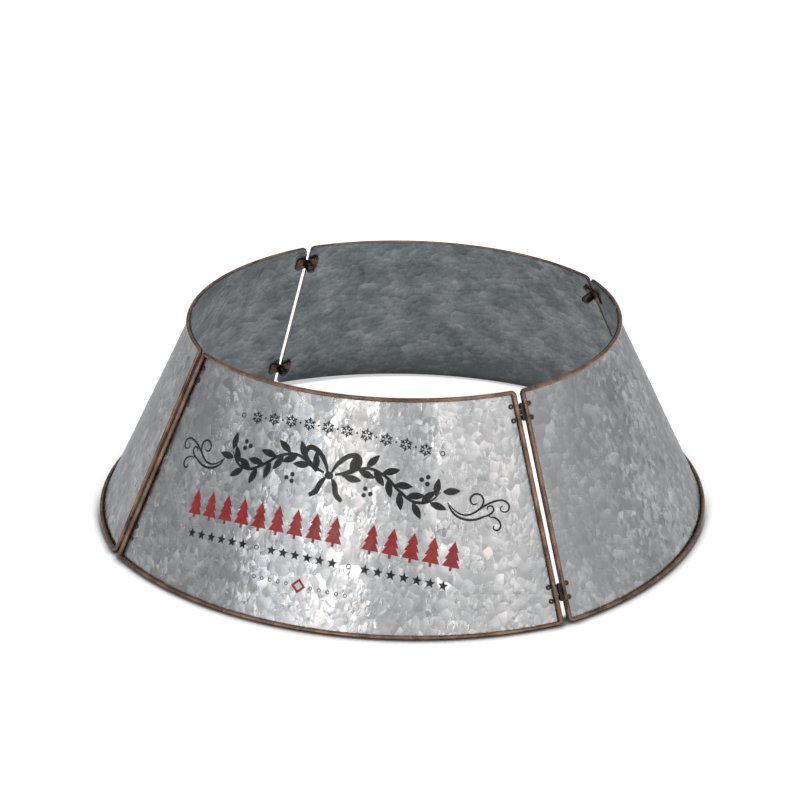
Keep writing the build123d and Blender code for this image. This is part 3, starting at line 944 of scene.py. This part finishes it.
def buildBow(mesh):
    # A ribbon bow between the two halves of the garland
    def at(points, side):
        return [(side * x * mm, y * mm) for x, y in points]
    for side in (1, -1):
        addStroke(mesh, at([(1.8, 149.5), (6, 158), (14, 167), (23, 170), (27.5, 164.5),
                            (24.5, 157.6), (16, 152), (5.5, 148.4)], side),
                  garland["loopWidth"], (0.4, 0.4))
        addStroke(mesh, at([(3.4, 144), (7.5, 137.5), (10, 130), (16.4, 124.6)], side),
                  garland["tailWidth"], (0.45, 0.7))
    addOval(mesh, (0, 146.6), garland["knot"], 16)


def buildStems(mesh):
    for side in (1, -1):
        addStroke(mesh, [(side * x * mm, y * mm) for x, y in garland["stem"]],
                  garland["stemWidth"], (0.8, 0.3))


def buildBerries(mesh):
    # Berries sit in threes under the boughs
    for side in (1, -1):
        for x, y in garland["berries"]:
            addOval(mesh, (side * x, y), (garland["berry"], garland["berry"]), 14)


def lineObject(name, points):
    # The stem's line, for the leaves to follow
    line = smoothLine([(x * mm, y * mm) for x, y in points])
    mesh = bpy.data.meshes.new(name)
    mesh.from_pydata([tuple(p) for p in line], [(i, i + 1) for i in range(len(line) - 1)], [])
    return bpy.data.objects.new(name, mesh)


def leavesFlat():
    # Both halves' leaves as one flat mark
    tree = makeLeafTree()
    leaf = flatMark("leaf_cut", buildLeaf)
    joined = bmesh.new()
    for side in (1, -1):
        stem = lineObject("stem_line", [(side * x, y) for x, y in garland["stem"]])
        mesh = shapeByNodes("leaves", tree, {
            "Stem": stem, "Leaf": leaf, "Spacing": garland["spacing"],
            "Spread": garland["spread"]})
        joined.from_mesh(mesh)
        bpy.data.objects.remove(stem)
    bpy.data.objects.remove(leaf)
    turnFacesUp(joined)
    mesh = bpy.data.meshes.new("leaves_cut")
    joined.to_mesh(mesh)
    joined.free()
    return bpy.data.objects.new("leaves_cut", mesh)


# Each row of the print: its mark, how many, where it starts and how far apart
rows = [
    ("snow_stars", buildFlake, 10, (-86.4, 191.5), 19.2, -0.40, "black"),
    ("snow_dots", buildDot, 9, (-76.8, 191.5), 19.2, -0.40, "black"),
    ("top_beads", buildBead, 2, (-103.0, 192.5), 206.0, -0.40, "black"),
    ("scrolls", buildScrolls, 1, (0, 0), 0, 0, "black"),
    ("bow", buildBow, 1, (0, 0), 0, 0, "black"),
    ("stems", buildStems, 1, (0, 0), 0, 0, "black"),
    ("leaves", None, 1, (0, 0), 0, 0, "black"),
    ("berries", buildBerries, 1, (0, 0), 0, 0, "black"),
    ("firs_left", buildFir, 9, (-141.0, 80.5), 19.6, 0, "red"),
    ("firs_right", buildFir, 5, (52.0, 80.5), 19.6, 0, "red"),
    ("small_stars_left", buildSmallStar, 6, (-139.0, 65.5), 12.6, 0, "black"),
    ("small_stars_middle", buildSmallStar, 6, (-44.0, 65.5), 12.6, 0, "black"),
    ("small_stars_right", buildSmallStar, 7, (51.0, 65.5), 12.6, 0, "black"),
    ("star_beads", buildBead, 2, (-60.2, 65.5), 95.4, 0, "black"),
    ("low_beads_left", buildTinyBead, 5, (-57.0, 37.6), 8.6, 0, "black"),
    ("low_beads_right", buildTinyBead, 5, (2.6, 37.6), 8.6, 0, "black"),
    ("diamond", buildDiamond, 1, (-9.9, 37.6), 0, 0, "red"),
]

printTree = makePrintTree()
for name, build, count, start, step, arch, ink in rows:
    mark = flatMark(name + "_cut", build) if build else leavesFlat()
    mesh = shapeByNodes("print_" + name, printTree, {
        "Mark": mark, "Count": count, "Start": (start[0] * mm, start[1] * mm, 0.0),
        "Step": step * mm, "Arch": arch, "Tilt": printing["tilt"],
        "Pivot": printing["pivot"], "Lift": printing["lift"],
        "Material": materials[ink + "PrintEnamel"]}, printing["thickness"], -1.0)
    bpy.data.objects.remove(mark)
    printed = bpy.data.objects.new("print_" + name, mesh)
    bpy.context.scene.collection.objects.link(printed)
    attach(printed, "front_wall")
    print("print ready:", name, len(mesh.polygons), "faces")


# Stage
stage = {
    "reach": 12.0,
    "paperColour": "#efefef",
    # grey of the painted shadow on the paper
    "paintedShadowColour": "#868686",
    "glowOverInsideShade": 0.80,
    "glowOutside": 0.54,
    "insideEdge": (311 * mm, 321 * mm),  # painted light: the floor in the ring glows white up to the walls, over their shade
    "creviceReach": 24 * mm,
    "creviceEdge": (0.74, 0.99),  # how open the paper lies, from painted-shadow grey to white
    "shadeSide": (0.29, -0.96, 0.0),  # the ring's painted shadow falls to the front
    "shadeEdge": (-20 * mm, 110 * mm),
    "farLift": 0.78,
}


def standAt(name, data, place, turn):
    holder = bpy.data.objects.new(name, data)
    holder.location = place
    holder.rotation_mode = "QUATERNION"
    holder.rotation_quaternion = turn
    bpy.context.scene.collection.objects.link(holder)
    return holder


def makeFloor():
    mesh = bpy.data.meshes.new("floor")
    reach = stage["reach"]
    corners = [(-reach, -reach, 0), (reach, -reach, 0), (reach, reach, 0), (-reach, reach, 0)]
    mesh.from_pydata(corners, [], [(0, 1, 2, 3)])
    floor = bpy.data.objects.new("floor", mesh)
    bpy.context.scene.collection.objects.link(floor)
    material, add = startMaterial("studioFloor")
    path = add("ShaderNodeLightPath")
    seen = add("ShaderNodeMath", {"operation": "MAXIMUM"}, {
        0: path["Is Camera Ray"], 1: path["Is Glossy Ray"]})[0]
    seen = add("ShaderNodeMath", {"operation": "MAXIMUM"}, {
        0: seen, 1: path["Is Transmission Ray"]})[0]
    where = add("ShaderNodeTexCoord")["Object"]
    # white paper that glows, with a painted shadow: greyer paper and less glow in the crevice
    # beside what stands on it
    away = add("ShaderNodeVectorMath", {"operation": "LENGTH"}, {0: where})["Value"]
    within = add("ShaderNodeMapRange", smooth, {
        0: away, 1: stage["insideEdge"][0], 2: stage["insideEdge"][1], 3: 1.0, 4: 0.0})[0]
    crevice = add("ShaderNodeAmbientOcclusion", {"samples": 16}, {
        "Distance": stage["creviceReach"]})["AO"]
    beyond = add("ShaderNodeMapRange", smooth, {
        0: crevice, 1: stage["creviceEdge"][0], 2: stage["creviceEdge"][1]})[0]
    toFront = add("ShaderNodeVectorMath", {"operation": "DOT_PRODUCT"}, {
        0: where, 1: stage["shadeSide"]})["Value"]
    lift = add("ShaderNodeMapRange", smooth, {
        0: toFront, 1: stage["shadeEdge"][0], 2: stage["shadeEdge"][1],
        3: stage["farLift"], 4: 0.0})[0]
    beyond = add("ShaderNodeMath", {"operation": "MAXIMUM"}, {0: beyond, 1: lift})[0]
    both = add("ShaderNodeMath", {"operation": "MAXIMUM"}, {0: within, 1: beyond})[0]
    paper = add("ShaderNodeMix", {"data_type": "RGBA"}, {
        0: both, 6: hexToLinear(stage["paintedShadowColour"]), 7: hexToLinear(stage["paperColour"])})[2]
    matt = add("ShaderNodeBsdfDiffuse", links={"Color": paper})[0]
    # painted light: stronger glow inside the ring, over the walls' shade
    inner = add("ShaderNodeMath", {"operation": "MULTIPLY"}, {
        0: within, 1: stage["glowOverInsideShade"]})[0]
    outer = add("ShaderNodeMath", {"operation": "MULTIPLY"}, {
        0: beyond, 1: stage["glowOutside"]})[0]
    glow = add("ShaderNodeMath", {"operation": "MAXIMUM"}, {0: inner, 1: outer})[0]
    glow = add("ShaderNodeMath", {"operation": "MULTIPLY"}, {0: glow, 1: seen})[0]
    white = add("ShaderNodeEmission", links={"Strength": glow})[0]
    lit = add("ShaderNodeAddShader", links={0: matt, 1: white})[0]
    add("ShaderNodeOutputMaterial", links={0: lit})
    mesh.materials.append(material)


makeFloor()

# How bright the room is by its direction: axis, from and to, and the two levels
room = {
    "upper": (2, (0.0, 0.9), (0.78, 1.0), "LINEAR"),
    "left": (0, (-0.95, 0.2), (0.62, 1.06), "SMOOTHSTEP"),
    "back": (1, (-0.1, 0.8), (1.0, 0.62), "SMOOTHSTEP"),
}
world = bpy.data.worlds.new("studio")
bpy.context.scene.world = world
world.use_nodes = True
world.node_tree.nodes.clear()
add = partial(addNode, world.node_tree)
path = add("ShaderNodeLightPath")
heading = add("ShaderNodeTexCoord")["Generated"]
heading = add("ShaderNodeSeparateXYZ", links={0: heading})
glow = 1.0
for axis, way, levels, shape in room.values():
    level = add("ShaderNodeMapRange", {"interpolation_type": shape}, {
        0: heading[axis], 1: way[0], 2: way[1], 3: levels[0], 4: levels[1]})[0]
    glow = add("ShaderNodeMath", {"operation": "MULTIPLY"}, {0: glow, 1: level})[0]
soft = add("ShaderNodeBackground", links={
    "Color": hexToLinear("#fafafa"), "Strength": glow})[0]
plain = add("ShaderNodeBackground", links={
    "Color": (1, 1, 1, 1), "Strength": 1.0})[0]
sky = add("ShaderNodeMixShader", links={
    0: path["Is Camera Ray"], 1: soft, 2: plain})[0]
add("ShaderNodeOutputWorld", links={0: sky})

# Lamps: where each stands round the ring, in degrees to the right of the
# front and above the floor, how far, its size, its power and its colour
lamps = {
    "tallSoftbox": (-7, 26, 2.4, (0.26, 1.0), 4.6, "#fff7f0"),
    "lowSoftbox": (-14, 13, 2.4, (1.0, 0.3), 2.2, "#ffffff"),
    "leftStrip": (-32, 19, 2.4, (0.16, 1.3), 2.1, "#f6faff"),
    "farLeftStrip": (-60, 28, 2.4, (0.10, 1.3), 1.2, "#f6faff"),
    "rightStrip": (30, 24, 2.4, (0.14, 1.2), 2.1, "#fff9f4"),
    "sideSoftbox": (52, 26, 2.4, (0.6, 1.2), 2.8, "#fff6f0"),
    "topSoftbox": (-50, 75, 2.6, (1.6, 1.6), 2, "#ffffff"),
}
target = Vector((0.0, 0.0, 0.1))
for name, (around, up, away, size, power, colour) in lamps.items():
    light = bpy.data.lights.new(name, "AREA")
    light.shape = "RECTANGLE"
    light.size, light.size_y = size
    light.energy = power
    light.color = hexToLinear(colour)[:3]
    around, up = math.radians(around), math.radians(up)
    aim = Vector((math.sin(around) * math.cos(up), -math.cos(around) * math.cos(up), math.sin(up)))
    standAt(name, light, target + aim * away, aim.to_track_quat("Z", "Y"))

view = {
    "place": (0.58689, -1.97244, 1.0068),
    "ahead": (-0.263073, 0.877424, -0.401149),
    "roll": math.radians(0.40),
    "lens": 95.03,
    "sensor": 36.0,
    "clip": (0.05, 60.0),
}
camera = bpy.data.cameras.new("camera")
camera.lens, camera.sensor_width = view["lens"], view["sensor"]
camera.clip_start, camera.clip_end = view["clip"]
turn = Vector(view["ahead"]).to_track_quat("-Z", "Y") @ Quaternion((0, 0, 1), view["roll"])
bpy.context.scene.camera = standAt("camera", camera, view["place"], turn)
bpy.context.scene.view_settings.view_transform = "Standard"
print("stage, lamps and camera set")
